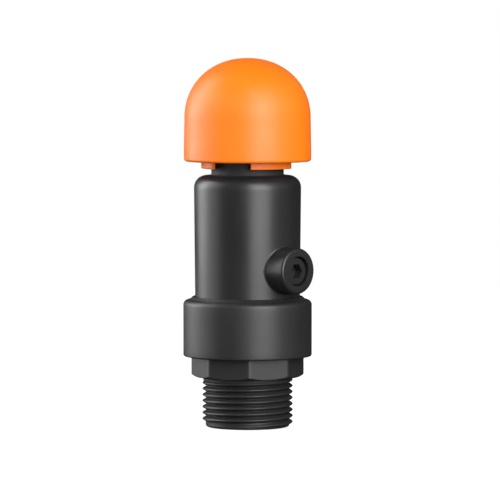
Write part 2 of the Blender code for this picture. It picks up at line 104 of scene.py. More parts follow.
def revolve(bm, profile, segments, place=None):
    """Full turn of a closed (r, z) section about Z; a point at r = 0 becomes a pole."""
    rings = []
    for r, z in profile:
        if r < 1e-6:
            rings.append([bm.verts.new((0.0, 0.0, z * MM))])
        else:
            rings.append([bm.verts.new((r * math.cos(2.0 * math.pi * i / segments) * MM,
                                        r * math.sin(2.0 * math.pi * i / segments) * MM, z * MM))
                          for i in range(segments)])
    count = len(profile)
    for k in range(count):
        a, b = rings[k], rings[(k + 1) % count]
        if len(a) == 1 and len(b) == 1:
            continue
        for i in range(segments):
            j = (i + 1) % segments
            if len(a) == 1:
                bm.faces.new((a[0], b[i], b[j]))
            elif len(b) == 1:
                bm.faces.new((a[i], b[0], a[j]))
            else:
                bm.faces.new((a[i], b[i], b[j], a[j]))
    if place is not None:
        bmesh.ops.transform(bm, matrix=place, verts=[v for ring in rings for v in ring])


def sweep_arc(bm, profile, centre_deg, span_deg, steps):
    rings = []
    for i in range(steps + 1):
        a = RAD(centre_deg - span_deg / 2.0 + span_deg * i / steps)
        rings.append([bm.verts.new((r * math.cos(a) * MM, r * math.sin(a) * MM, z * MM))
                      for r, z in profile])
    for i in range(steps):
        for k in range(len(profile)):
            m = (k + 1) % len(profile)
            bm.faces.new((rings[i][k], rings[i][m], rings[i + 1][m], rings[i + 1][k]))
    bm.faces.new(rings[0])
    bm.faces.new(rings[-1][::-1])


def extrude_outline(bm, outline, low, high, place=None):
    a = [bm.verts.new((x * MM, y * MM, low * MM)) for x, y in outline]
    b = [bm.verts.new((x * MM, y * MM, high * MM)) for x, y in outline]
    for i in range(len(outline)):
        j = (i + 1) % len(outline)
        bm.faces.new((a[i], a[j], b[j], b[i]))
    bm.faces.new(a[::-1])
    bm.faces.new(b)
    if place is not None:
        bmesh.ops.transform(bm, matrix=place, verts=a + b)


def grid_solid(bm, rings):
    """Closed solid from a stack of equal rings, end rings filled."""
    made = [[bm.verts.new(p) for p in ring] for ring in rings]
    n = len(made[0])
    for k in range(len(made) - 1):
        for i in range(n):
            j = (i + 1) % n
            bm.faces.new((made[k][i], made[k][j], made[k + 1][j], made[k + 1][i]))
    bm.faces.new(made[0][::-1])
    bm.faces.new(made[-1])


def solid(name, fill, place=None):
    bm = bmesh.new()
    fill(bm)
    bmesh.ops.recalc_face_normals(bm, faces=bm.faces[:])
    if place is not None:
        bmesh.ops.transform(bm, matrix=place, verts=bm.verts[:])
    mesh = bpy.data.meshes.new(name)
    bm.to_mesh(mesh)
    bm.free()
    obj = bpy.data.objects.new(name, mesh)
    bpy.context.scene.collection.objects.link(obj)
    return obj


def apply_modifiers(obj):
    bpy.context.view_layer.update()
    graph = bpy.context.evaluated_depsgraph_get()
    mesh = bpy.data.meshes.new_from_object(obj.evaluated_get(graph))
    obj.modifiers.clear()
    old = obj.data
    obj.data = mesh
    mesh.name = obj.name
    bpy.data.meshes.remove(old)
    return obj


def cut(obj, tool, operation="DIFFERENCE"):
    mod = obj.modifiers.new("cut", "BOOLEAN")
    mod.operation, mod.solver, mod.object = operation, "EXACT", tool
    apply_modifiers(obj)
    mesh = tool.data
    bpy.data.objects.remove(tool)
    bpy.data.meshes.remove(mesh)
    return obj


def bevel(obj, width, segments=3, angle=40.0):
    mod = obj.modifiers.new("edge", "BEVEL")
    mod.width, mod.segments = width * MM, segments
    mod.limit_method, mod.angle_limit = "ANGLE", RAD(angle)
    mod.use_clamp_overlap = True
    return apply_modifiers(obj)


def smooth(obj, angle=34.0):
    obj.data.shade_smooth()
    obj.data.set_sharp_from_angle(angle=RAD(angle))
    return obj


def put(obj, material, body, node):
    if not obj.data.polygons[0].use_smooth:
        smooth(obj, 36.0)
    obj.data.materials.clear()
    obj.data.materials.append(material)
    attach(obj, body)
    if node:
        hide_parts(*([node] if isinstance(node, str) else node))
    return obj


# ------------------------------------------------------------------ materials
class Tree:
    def __init__(self, name):
        self.mat = bpy.data.materials.new(name)
        self.mat.use_nodes = True
        self.nodes, self.links = self.mat.node_tree.nodes, self.mat.node_tree.links
        self.bsdf = self.nodes["Principled BSDF"]
        self.coord = self.nodes.new("ShaderNodeTexCoord").outputs["Object"]
        self.last_bump = None

    def mapped(self, scale, offset=(0.0, 0.0, 0.0)):
        m = self.nodes.new("ShaderNodeMapping")
        m.inputs["Scale"].default_value = scale
        m.inputs["Location"].default_value = offset
        self.links.new(self.coord, m.inputs["Vector"])
        return m.outputs["Vector"]

    def noise(self, scale, detail=3.0, rough=0.55, vector=None, distortion=0.0):
        n = self.nodes.new("ShaderNodeTexNoise")
        n.inputs["Scale"].default_value = scale
        n.inputs["Detail"].default_value = detail
        n.inputs["Roughness"].default_value = rough
        n.inputs["Distortion"].default_value = distortion
        self.links.new(vector or self.coord, n.inputs["Vector"])
        return n.outputs["Fac"]

    def span(self, value, low, high, out_low, out_high):
        r = self.nodes.new("ShaderNodeMapRange")
        r.clamp = True
        for key, v in (("From Min", low), ("From Max", high), ("To Min", out_low), ("To Max", out_high)):
            r.inputs[key].default_value = v
        self.links.new(value, r.inputs["Value"])
        return r.outputs["Result"]

    def mix(self, fac, a, b, blend="MIX"):
        m = self.nodes.new("ShaderNodeMix")
        m.data_type, m.blend_type = "RGBA", blend
        for key, v in (("Factor", fac), ("A", a), ("B", b)):
            sock = [s for s in m.inputs if s.name == key and (s.type == "RGBA" or key == "Factor")
                    and s.enabled][0]
            if isinstance(v, (tuple, list)):
                sock.default_value = (*v, 1.0)
            elif isinstance(v, (int, float)):
                sock.default_value = v
            else:
                self.links.new(v, sock)
        return [s for s in m.outputs if s.type == "RGBA"][0]

    def math(self, op, a, b):
        m = self.nodes.new("ShaderNodeMath")
        m.operation = op
        for i, v in enumerate((a, b)):
            if isinstance(v, (int, float)):
                m.inputs[i].default_value = v
            else:
                self.links.new(v, m.inputs[i])
        return m.outputs[0]

    def bump(self, height, strength, distance_mm):
        b = self.nodes.new("ShaderNodeBump")
        b.inputs["Strength"].default_value = strength
        b.inputs["Distance"].default_value = distance_mm * MM
        self.links.new(height, b.inputs["Height"])
        if self.last_bump is not None:
            self.links.new(self.last_bump, b.inputs["Normal"])
        self.last_bump = b.outputs["Normal"]

    def done(self, colour=None, roughness=None, **values):
        if colour is not None:
            self.links.new(colour, self.bsdf.inputs["Base Color"])
        if roughness is not None:
            self.links.new(roughness, self.bsdf.inputs["Roughness"])
        if self.last_bump is not None:
            self.links.new(self.last_bump, self.bsdf.inputs["Normal"])
        for key, v in values.items():
            self.bsdf.inputs[key.replace("_", " ")].default_value = v
        return self.mat


def black_nylon(name, low, high, grain_zone, grain, shade=1.0):
    """Glass-filled nylon: near black, satin, with a faint flow pattern and fine fibre flecks.
    grain_zone is the height range in mm that keeps the coarser grain of the mould."""
    t = Tree(name)
    broad = t.noise(38.0, 3.0, 0.5)
    flow = t.noise(1.0, 4.0, 0.6, t.mapped((520.0, 520.0, 40.0)))
    fleck = t.noise(2600.0, 2.0, 0.6)
    k = shade
    base = t.mix(t.span(broad, 0.35, 0.65, 0.0, 1.0), (0.0098 * k, 0.0094 * k, 0.0102 * k),
                 (0.0122 * k, 0.0118 * k, 0.0128 * k))
    base = t.mix(t.span(flow, 0.42, 0.75, 0.0, 0.35), base, (0.018, 0.0175, 0.019))
    base = t.mix(t.span(fleck, 0.62, 0.80, 0.0, 0.30), base, (0.032, 0.031, 0.032))
    rough = t.span(t.math("ADD", t.math("MULTIPLY", broad, 0.5), t.math("MULTIPLY", fleck, 0.5)),
                   0.35, 0.65, low, high)
    height = t.nodes.new("ShaderNodeSeparateXYZ")
    t.links.new(t.coord, height.inputs[0])
    rise = t.span(height.outputs["Z"], grain_zone[0] * MM, (grain_zone[0] + 0.5) * MM, 0.0, 1.0)
    fall = t.span(height.outputs["Z"], grain_zone[1] * MM, (grain_zone[1] + 0.5) * MM, 1.0, 0.0)
    rough = t.math("ADD", rough, t.math("MULTIPLY", t.math("MULTIPLY", rise, fall), grain))
    t.bump(t.noise(4200.0, 2.0, 0.55), 0.35, 0.010)
    t.bump(t.noise(420.0, 2.0, 0.5), 0.30, 0.020)
    return t.done(base, rough, Specular_IOR_Level=0.5, IOR=1.53)


def orange_pp():
    t = Tree("orange_polypropylene")
    broad = t.noise(30.0, 3.0, 0.5)
    mid = t.noise(260.0, 3.0, 0.55)
    fine = t.noise(3000.0, 2.0, 0.6)
    base = t.mix(t.span(broad, 0.3, 0.7, 0.0, 1.0), (0.93, 0.174, 0.0028), (0.95, 0.190, 0.0036))
    base = t.mix(t.span(mid, 0.45, 0.75, 0.0, 0.18), base, (0.90, 0.152, 0.0025))
    rough = t.span(t.math("ADD", t.math("MULTIPLY", mid, 0.5), t.math("MULTIPLY", fine, 0.5)),
                   0.35, 0.65, 0.41, 0.49)
    t.bump(fine, 0.30, 0.008)
    t.bump(t.noise(330.0, 2.0, 0.5), 0.25, 0.018)
    return t.done(base, rough, Specular_IOR_Level=0.47, IOR=1.49, Subsurface_Weight=0.12,
                  Subsurface_Radius=(1.0, 0.35, 0.08), Subsurface_Scale=0.0012)


def acetal():
    t = Tree("natural_acetal")
    broad = t.noise(55.0, 3.0, 0.5)
    fine = t.noise(2400.0, 2.0, 0.6)
    base = t.mix(t.span(broad, 0.3, 0.7, 0.0, 1.0), (0.58, 0.565, 0.52), (0.66, 0.65, 0.61))
    rough = t.span(fine, 0.35, 0.65, 0.36, 0.46)
    t.bump(fine, 0.25, 0.006)
    return t.done(base, rough, IOR=1.48, Subsurface_Weight=0.1,
                  Subsurface_Radius=(1.0, 0.9, 0.7), Subsurface_Scale=0.0008)


def foam_pp():
    t = Tree("foamed_polypropylene")
    cell = t.noise(1400.0, 3.0, 0.65)
    swirl = t.noise(160.0, 4.0, 0.6, distortion=1.2)
    base = t.mix(t.span(swirl, 0.35, 0.7, 0.0, 1.0), (0.70, 0.69, 0.64), (0.80, 0.79, 0.75))
    rough = t.span(cell, 0.35, 0.65, 0.52, 0.68)
    t.bump(cell, 0.45, 0.025)
    return t.done(base, rough, IOR=1.49)


def epdm():
    t = Tree("epdm_rubber")
    fine = t.noise(1900.0, 3.0, 0.6)
    base = t.mix(t.span(fine, 0.35, 0.7, 0.0, 1.0), (0.014, 0.014, 0.014), (0.024, 0.024, 0.023))
    rough = t.span(fine, 0.3, 0.7, 0.55, 0.72)
    t.bump(fine, 0.35, 0.012)
    return t.done(base, rough, IOR=1.52)


def stainless():
    t = Tree("stainless_steel")
    turn = t.noise(1.0, 3.0, 0.6, t.mapped((900.0, 900.0, 9000.0)))
    base = t.mix(t.span(turn, 0.3, 0.7, 0.0, 1.0), (0.52, 0.515, 0.50), (0.66, 0.655, 0.64))
    rough = t.span(turn, 0.3, 0.7, 0.22, 0.36)
    t.bump(turn, 0.2, 0.004)
    return t.done(base, rough, Metallic=1.0)


def brass():
    t = Tree("brass")
    turn = t.noise(1.0, 3.0, 0.6, t.mapped((700.0, 700.0, 8000.0)))
    base = t.mix(t.span(turn, 0.3, 0.7, 0.0, 1.0), (0.66, 0.46, 0.17), (0.80, 0.60, 0.27))
    rough = t.span(turn, 0.3, 0.7, 0.22, 0.36)
    t.bump(turn, 0.2, 0.004)
    return t.done(base, rough, Metallic=1.0)


BLACK = black_nylon("black_nylon", 0.34, 0.42, (92.0, 103.5), 0.30)
COARSE = black_nylon("black_nylon_textured", 0.42, 0.50, (16.4, 18.2), 0.22, 1.3)
ORANGE, ACETAL, FOAM, RUBBER, STEEL, BRASS = orange_pp(), acetal(), foam_pp(), epdm(), stainless(), brass()


# ------------------------------------------------------------------ base fitting
def fill_base(bm):
    section = rounded([
        (BORE_R, 0.0, 0.3), (STUB_R, 0.0, 0.9), (STUB_R, 1.6), (THREAD_ROOT_R, 1.9), (THREAD_ROOT_R, 16.2),
        (16.3, 17.0, 0.4), (16.3, 18.8), (18.7, 18.8), (18.7, OCTAGON_HIGH), (COLLAR_R, OCTAGON_HIGH, 0.6),
        (COLLAR_R, 46.3, 1.87), (21.15, 47.03, 0.3), (20.2, COLLAR_TOP, 0.15),
        (CUP_R, COLLAR_TOP, 0.25), (CUP_R, CUP_FLOOR, 0.4), (BORE_R, CUP_FLOOR, 0.4)], 9.0, 2.4)
    revolve(bm, section, 192)


def octagon_radius(phi):
    """Octagon with slightly rounded corners, in polar form."""
    flat = OCTAGON_R * math.cos(math.pi / 8.0)
    a = (phi - OCTAGON_TURN) % (math.pi / 4.0) - math.pi / 8.0
    r = flat / math.cos(a)
    corner = OCTAGON_R - 0.16
    k = 0.12
    h = max(0.0, min(1.0, 0.5 + 0.5 * (corner - r) / k))
    return corner * (1.0 - h) + r * h - k * h * (1.0 - h)


def fill_octagon(bm):
    heights = [OCTAGON_LOW, OCTAGON_LOW + 0.04, OCTAGON_LOW + 0.12, OCTAGON_LOW + 0.25]
    heights += [OCTAGON_LOW + 0.25 + 0.15 * k for k in range(1, 11)]
    heights += [20.8, 21.6, 22.6, 23.6, 24.6, 25.6, 26.5]
    rings = []
    for z in heights:
        ring = []
        lift = z - OCTAGON_LOW
        cone = 19.12 + 1.73 * lift
        edge = 0.35
        if lift < edge:
            cone -= edge - math.sqrt(max(0.0, edge * edge - (edge - lift) ** 2))
        for i in range(384):
            phi = 2.0 * math.pi * i / 384
            a, b = octagon_radius(phi), cone
            k = 0.22
            h = max(0.0, min(1.0, 0.5 + 0.5 * (b - a) / k))
            r = b * (1.0 - h) + a * h - k * h * (1.0 - h)
            ring.append((r * math.cos(phi) * MM, r * math.sin(phi) * MM, z * MM))
        rings.append(ring)
    made = [[bm.verts.new(p) for p in ring] for ring in rings]
    inner = []
    for z in (heights[-1], heights[0]):
        inner.append([bm.verts.new((13.6 * math.cos(2.0 * math.pi * i / 384) * MM,
                                    13.6 * math.sin(2.0 * math.pi * i / 384) * MM, z * MM))
                      for i in range(384)])
    loops = made + inner
    for k in range(len(loops)):
        a, b = loops[k], loops[(k + 1) % len(loops)]
        for i in range(384):
            j = (i + 1) % 384
            bm.faces.new((a[i], a[j], b[j], b[i]))


def helix(bm, crest, inner, pitch, first_z, start, stop, per_turn, crest_w, half_angle, fade_turns,
          round_r):
    """Single-start right-hand ridge with a rounded crest, fading out at both ends."""
    steps = int(round((stop - start) * per_turn))
    rings = []
    for i in range(steps + 1):
        turn = start + (stop - start) * i / steps
        phi = 2.0 * math.pi * turn
        z = first_z + pitch * turn
        fade = min(1.0, (turn - start) / fade_turns, (stop - turn) / fade_turns)
        fade = fade * fade * (3.0 - 2.0 * fade)
        top = inner + 0.05 + (crest - inner - 0.05) * fade
        half_c = crest_w / 2.0
        half_i = half_c + (top - inner) * math.tan(half_angle)
        rr = min(round_r, 0.45 * (top - inner))
        section = [(inner, -half_i)]
        section.append((top - rr, -half_c - rr * math.tan(half_angle)))
        section.append((top - 0.30 * rr, -half_c - 0.05 * rr))
        section.append((top, -half_c + 0.45 * rr))
        section.append((top, half_c - 0.45 * rr))
        section.append((top - 0.30 * rr, half_c + 0.05 * rr))
        section.append((top - rr, half_c + rr * math.tan(half_angle)))
        section.append((inner, half_i))
        rings.append([bm.verts.new((r * math.cos(phi) * MM, r * math.sin(phi) * MM, (z + h) * MM))
                      for r, h in section])
    n = len(rings[0])
    for i in range(steps):
        for k in range(n):
            m = (k + 1) % n
            bm.faces.new((rings[i][k], rings[i][m], rings[i + 1][m], rings[i + 1][k]))
    bm.faces.new(rings[0])
    bm.faces.new(rings[-1][::-1])


def build_base():
    base = solid("base_fitting", fill_base)
    cut(base, solid("tool", fill_octagon), "UNION")
    cut(base, solid("tool", lambda bm: helix(
        bm, THREAD_CREST_R, 14.98, THREAD_PITCH, THREAD_FIRST_Z, THREAD_START, THREAD_TURNS, 96, 0.44,
        RAD(30.0), 0.3, 0.28)), "UNION")
    smooth(base, 32.0)
    return put(base, COARSE, "housing", "base")


# ------------------------------------------------------------------ housing
def body_radius(z):
    t = (z - 49.0) / (BODY_TOP - 49.0)
    return BODY_R_LOW + (BODY_R_TOP - BODY_R_LOW) * max(0.0, min(1.0, t))


def fill_body(bm):
    section = rounded([
        (15.9, 32.7, 0.3), (19.2, 32.7, 0.3), (19.2, 34.0), (17.5, 34.0, 0.2), (17.5, 37.0, 0.2),
        (19.2, 37.0, 0.2), (BODY_R_LOW, 49.0), (BODY_R_TOP, BODY_TOP, SHOULDER_R), (NECK_R, BODY_TOP, 0.6),
        (NECK_R, 98.6, 0.25), (BEAD_R, 99.6, 0.3), (BEAD_R, 100.6, 0.4), (13.7, NECK_TOP, 0.3),
        (12.0, NECK_TOP, 0.2), (12.0, 100.6), (11.2, 100.6, 0.15), (11.2, 92.6, 0.6),
        (ORIFICE_R, 91.2, 0.8), (ORIFICE_R, CEILING, 0.3), (BODY_IN_R, CEILING, 0.3), (BODY_IN_R, 87.0),
        (17.5, 87.0), (17.5, 85.6), (BODY_IN_R, 85.6), (BODY_IN_R, 49.6, 0.4), (15.9, 48.6, 0.4)],
        8.0)
    fine = []
    for i, p in enumerate(section):
        q = section[(i + 1) % len(section)]
        near = 44.0 < max(p[1], q[1]) and min(p[1], q[1]) < 73.0 and p[0] > 19.0 and q[0] > 19.0
        if near:
            parts = max(1, int(math.ceil(math.dist(p, q) / 0.8)))
        else:
            parts = max(1, int(math.ceil(math.dist(p, q) / 4.0)))
        fine += [(p[0] + (q[0] - p[0]) * k / parts, p[1] + (q[1] - p[1]) * k / parts)
                 for k in range(parts)]
    revolve(bm, fine, 224)


def fill_boss(bm):
    """Boss with a fillet that follows the round wall. Local +Z is the port axis."""
    n, fillet, rim = 144, 0.6, 1.0
    rings = []

    def wall(rho, psi):
        z = PORT_Z - rho * math.cos(psi)
        return math.sqrt(body_radius(z) ** 2 - (rho * math.sin(psi)) ** 2)

    psis = [2.0 * math.pi * i / n for i in range(n)]

    def ring(fn):
        rings.append([((rho := fn(psi)[0]) * math.cos(psi) * MM, rho * math.sin(psi) * MM, fn(psi)[1] * MM)
                      for psi in psis])

    ring(lambda psi: (BOSS_R - 1.2, 17.1))
    start = RAD(9.0)
    rho0 = BOSS_R + fillet * (1.0 - math.sin(start))
    ring(lambda psi: (rho0 + 0.4, wall(rho0 + 0.4, psi) - 0.55))
    for k in range(9):
        a = start + (math.pi / 2.0 - start) * k / 8
        rho = BOSS_R + fillet * (1.0 - math.sin(a))
        ring(lambda psi, rho=rho, a=a: (rho, wall(rho, psi) + fillet * (1.0 - math.cos(a))))
    for share in (0.15, 0.4, 0.7):
        ring(lambda psi, s=share: (BOSS_R, (wall(BOSS_R, psi) + fillet) * (1.0 - s) + (BOSS_FACE - rim) * s))
    for k in range(9):
        a = math.pi / 2.0 * k / 8
        ring(lambda psi, a=a: (BOSS_R - rim + rim * math.cos(a), BOSS_FACE - rim + rim * math.sin(a)))
    ring(lambda psi: (6.4, BOSS_FACE))
    ring(lambda psi: (3.0, BOSS_FACE))
    grid_solid(bm, rings)


def fill_bore(bm):
    revolve(bm, rounded([(0.0, 14.4), (4.75, 14.4), (4.75, 22.4), (5.3, 22.4), (5.3, 26.0, 0.8),
                         (6.0, 26.7), (6.0, 28.0), (0.0, 28.0)], 10.0), 96)


def build_body():
    body = solid("housing_shell", fill_body)
    cut(body, solid("tool", fill_boss, PORT_FRAME), "UNION")

    def fill_ribs(bm):
        for k in range(4):
            a = math.pi / 4.0 + math.pi / 2.0 * k
            c, s = math.cos(a), math.sin(a)
            outline = [(15.05, -0.55), (15.3, -0.8), (17.6, -0.8), (17.6, 0.8), (15.3, 0.8), (15.05, 0.55)]
            extrude_outline(bm, [(x * c - y * s, x * s + y * c) for x, y in outline], 74.0, 84.4)
    cut(body, solid("tool", fill_ribs), "UNION")
    cut(body, solid("tool", fill_bore, PORT_FRAME))
    smooth(body, 36.0)
    return put(body, BLACK, "housing", "body")


# ------------------------------------------------------------------ hood
def crown(r_max, rise, steps):
    """Upper quarter of a slightly squared ellipse, from the tangent circle to the pole."""
    power = 2.0 / DOME_POWER
    return [(r_max * math.cos(math.pi / 2.0 * i / steps) ** power if i < steps else 0.0,
             TANGENT_Z + rise * math.sin(math.pi / 2.0 * i / steps) ** power) for i in range(steps + 1)]


def fill_hood(bm):
    inner_r = DOME_R - WALL
    rim = rounded([(inner_r + 0.15, TANGENT_Z - 1.0), (inner_r + 0.2, RIM_Z, 0.25), (DOME_RIM_R, RIM_Z, 1.0),
                   (DOME_RIM_R, 103.0), (DOME_R, TANGENT_Z - 1.0)], 7.0)
    section = rim + crown(DOME_R, RISE, 40) + crown(inner_r, RISE - WALL, 28)[::-1]
    revolve(bm, section, 192)


def sweep_soft(bm, section, centre_deg, span_deg, steps, edge, mean_r):
    """Arc sweep with rounded end edges. section(inset) gives the points of one station."""
    half, end = RAD(span_deg) / 2.0, edge / mean_r
    stations = []
    for k in range(5):
        a = math.pi / 2.0 * k / 4
        stations.append((-half + end * (1.0 - math.cos(a)), edge * (1.0 - math.sin(a))))
    middle = [(-half + end + 2.0 * (half - end) * i / steps, 0.0) for i in range(1, steps)]
    stations = stations + middle + [(-angle, inset) for angle, inset in reversed(stations)]
    rings = []
    for angle, inset in stations:
        a = RAD(centre_deg) + angle
        rings.append([bm.verts.new((r * math.cos(a) * MM, r * math.sin(a) * MM, z * MM))
                      for r, z in section(inset)])
    for low, high in zip(rings[:-1], rings[1:]):
        for k in range(len(low)):
            m = (k + 1) % len(low)
            bm.faces.new((low[k], low[m], high[m], high[k]))
    bm.faces.new(rings[0])
    bm.faces.new(rings[-1][::-1])


def leg_section(i):
    return rounded([(15.6 + i, 94.9 + i, 0.36 - i), (17.0 - i, 94.9 + i, 0.42 - i), (17.0 - i, 127.3 - i),
                    (15.6 + i, 128.6 - i)], 14.0)


def hook_section(i):
    return rounded([(16.1, 95.3 + i), (15.0 + 0.4 * i, 95.3 + i, 0.3 - i), (13.7 + i, 96.6 + 0.4 * i, 0.35 - i),
                    (13.7 + i, 98.1 - i, 0.3 - i), (16.1, 98.3 - i)], 16.0)


def stop_section(i):
    return rounded([(16.1, 103.3 + i), (12.8 + i, 103.3 + i, 0.3 - i), (12.8 + i, 105.0 - i, 0.3 - i),
                    (16.1, 105.4 - i)], 16.0)


def fill_legs(bm):
    for centre in LEG_CENTRES:
        sweep_soft(bm, leg_section, centre, LEG_SPAN, 28, 0.3, 16.3)


def fill_catches(bm):
    for centre in LEG_CENTRES:
        sweep_soft(bm, hook_section, centre, HOOK_SPAN, 20, 0.2, 14.8)
        sweep_soft(bm, stop_section, centre, HOOK_SPAN, 20, 0.2, 14.4)


def build_hood():
    hood = solid("hood_shell", fill_hood)
    cut(hood, solid("tool", fill_legs), "UNION")
    cut(hood, solid("tool", fill_catches), "UNION")
    smooth(hood, 36.0)
    return put(hood, ORANGE, "hood", "dome_cap")


# ------------------------------------------------------------------ side plug
def fill_plug(bm):
    revolve(bm, rounded([(0.0, 17.2), (4.1, 17.2, 0.35), (4.15, 22.4), (3.7, 22.4, 0.15), (3.7, 24.1, 0.15),
                         (5.0, 24.1, 0.15), (5.0, 25.1, 0.4), (0.0, 25.1)], 12.0), 96, PORT_FRAME)


def fill_socket(bm):
    r = 5.0 / math.sqrt(3.0)
    outline = [(r * math.cos(math.pi / 6.0 + math.pi * k / 3.0), r * math.sin(math.pi / 6.0 + math.pi * k / 3.0))
               for k in range(6)]
    extrude_outline(bm, outline, 21.9, 27.0, PORT_FRAME)


def build_plug():
    plug = solid("side_plug", fill_plug)
    cut(plug, solid("tool", lambda bm: helix(
        bm, 4.45, 4.02, 0.907, 17.85, 0.0, 4.6, 48, 0.14, RAD(27.5), 0.3, 0.12), PORT_FRAME), "UNION")
    cut(plug, solid("tool", fill_socket))
    smooth(plug, 34.0)
    return put(plug, BLACK, "plug", "port_plug")


# ------------------------------------------------------------------ pieces inside the housing
SCREW_ANGLES = (30.0, 150.0, 270.0)
HANGER_SCREW_R, STEM_SCREW_R = 9.4, 4.7


def turned(name, section, segments=128, step_deg=14.0, place=None):
    return solid(name, lambda bm: revolve(bm, rounded(section, step_deg), segments), place)


def ring_section(major, minor, z, steps):
    return [(major + minor * math.cos(2.0 * math.pi * k / steps), z + minor * math.sin(2.0 * math.pi * k / steps))
            for k in range(steps)]


def drill(obj, radius, pitch_r, low, high):
    """Three through holes for the screws."""
    def fill(bm):
        for angle in SCREW_ANGLES:
            cx, cy = pitch_r * math.cos(RAD(angle)), pitch_r * math.sin(RAD(angle))
            extrude_outline(bm, [(cx + radius * math.cos(math.pi * i / 20.0), cy + radius * math.sin(math.pi * i / 20.0))
                                 for i in range(40)], low, high)
    return cut(obj, solid("tool", fill))


def round_box(x0, x1, y, corner, steps=5):
    """Plan outline of a bar with rounded corners, counter-clockwise."""
    out = []
    for cx, cy, start in ((x1 - corner, y - corner, 0.0), (x0 + corner, y - corner, 90.0),
                          (x0 + corner, -y + corner, 180.0), (x1 - corner, -y + corner, 270.0)):
        out += [(cx + corner * math.cos(RAD(start + 90.0 * k / steps)), cy + corner * math.sin(RAD(start + 90.0 * k / steps)))
                for k in range(steps + 1)]
    return out


def build_seals():
    put(solid("housing_seal_ring", lambda bm: revolve(bm, ring_section(18.5, 0.82, 35.5, 24), 160)),
        RUBBER, "housing", "body_oring")
    put(turned("orifice_seat", [(9.8, 86.9, 0.15), (10.3, 86.4, 0.3), (14.2, 86.4, 0.2), (14.2, 88.4, 0.2),
                                (9.8, 88.4, 0.3)], 160), RUBBER, "housing", "orifice_seal")
    put(turned("seat_retainer", [(12.5, 84.8, 0.3), (16.5, 84.8, 0.3), (16.6, 86.0, 0.1), (17.2, 86.2, 0.15),
                                 (17.2, 86.7, 0.15), (16.6, 86.7, 0.1), (16.6, 88.4, 0.2), (14.5, 88.4, 0.2),
                                 (14.5, 86.1, 0.15), (12.5, 86.1, 0.3)], 160),
        ACETAL, "housing", "seal_retainer")
    put(solid("nozzle_seal_ring", lambda bm: revolve(bm, ring_section(3.45, 0.49, 74.25, 20), 80)),
        RUBBER, "disc_group", "nozzle_oring")
    put(solid("plug_seal_ring", lambda bm: revolve(bm, ring_section(4.5, 0.61, 23.25, 20), 96, PORT_FRAME)),
        RUBBER, "plug_seal", "port_plug_oring")


def build_guard():
    guard = turned("vent_guard_ring", [(10.6, 100.9, 0.25), (11.7, 100.9, 0.25), (11.7, 102.6, 0.3),
                                       (10.6, 102.6, 0.3)], 144)

    def fill_cross(bm):
        w, reach = 0.6, 11.0
        extrude_outline(bm, [(reach, -w), (reach, w), (w, w), (w, reach), (-w, reach), (-w, w), (-reach, w),
                             (-reach, -w), (-w, -w), (-w, -reach), (w, -reach), (w, -w)], 101.2, 102.2)
    cut(guard, bevel(solid("tool", fill_cross), 0.25, 3, 60.0), "UNION")
    smooth(guard, 36.0)
    put(guard, ACETAL, "housing", "vent_guard")


def build_cage():
    cage = turned("guide_cage", [(12.3, 30.3, 0.3), (19.3, 30.3, 0.35), (19.3, 32.4, 0.35), (12.3, 32.4, 0.3)], 144)
    for low, high in ((51.0, 53.0), (71.2, 73.4)):
        cut(cage, turned("tool", [(13.85, low, 0.35), (15.3, low, 0.35), (15.3, high, 0.35), (13.85, high, 0.35)],
                         144), "UNION")

    def fill_posts(bm):
        for k in range(4):
            a = math.pi / 2.0 * k
            c, w = math.cos(a), math.sin(a)
            extrude_outline(bm, [(x * c - y * w, x * w + y * c) for x, y in round_box(14.0, 15.15, 1.5, 0.35)],
                            31.0, 72.6)
    cut(cage, solid("tool", fill_posts), "UNION")

    def fill_spider(bm):
        w, reach = 1.0, 13.2
        extrude_outline(bm, [(reach, -w), (reach, w), (w, w), (w, reach), (-w, reach), (-w, w), (-reach, w),
                             (-reach, -w), (-w, -w), (-w, -reach), (w, -reach), (w, -w)], 30.6, 32.1)
    cut(cage, bevel(solid("tool", fill_spider), 0.3, 3, 60.0), "UNION")
    smooth(cage, 36.0)
    put(cage, ACETAL, "housing", "float_cage")


def build_disc():
    disc = turned("kinetic_disc", [(4.3, 73.7, 0.2), (14.7, 73.7, 0.35), (14.7, 75.6, 0.35), (12.2, 75.95, 0.6),
                                   (12.2, 78.2, 0.45), (2.9, 78.2, 0.25), (2.9, 75.0), (4.3, 75.0, 0.1)], 144)
    drill(disc, 1.15, HANGER_SCREW_R, 72.0, 77.0)
    smooth(disc, 36.0)
    put(disc, ACETAL, "disc_group", "seal_disc")

    nozzle = turned("automatic_nozzle", [(0.8, 71.8, 0.12), (1.25, 71.8, 0.12), (1.5, 72.5, 0.2), (4.0, 72.5, 0.2),
                                         (4.0, 73.4, 0.2), (2.3, 73.4, 0.1), (2.3, 78.0, 0.3), (0.8, 78.0, 0.25)], 96)
    cut(nozzle, solid("tool", lambda bm: helix(bm, 2.6, 2.2, 0.7, 74.9, 0.0, 3.6, 64, 0.10, RAD(30.0), 0.3, 0.08)),
        "UNION")
    smooth(nozzle, 34.0)
    put(nozzle, BRASS, "disc_group", "nozzle")

    hanger = turned("float_hanger", [(3.3, 62.8, 0.3), (8.0, 62.8, 0.5), (8.0, 64.6, 0.25), (3.3, 64.6, 0.3)], 128)

    def fill_legs(bm):
        for angle in SCREW_ANGLES:
            sweep_arc(bm, [(6.3, 64.0), (7.9, 64.0), (7.9, 72.2), (6.3, 72.2)], angle + 60.0, 56.0, 20)
    cut(hanger, bevel(solid("tool", fill_legs), 0.25, 3, 60.0), "UNION")
    cut(hanger, turned("tool", [(6.2, 71.6, 0.25), (11.2, 71.6, 0.35), (11.2, 73.4, 0.25), (6.2, 73.4, 0.25)], 128),
        "UNION")
    drill(hanger, 1.15, HANGER_SCREW_R, 70.0, 75.0)
    smooth(hanger, 36.0)
    put(hanger, ACETAL, "disc_group", "hanger")


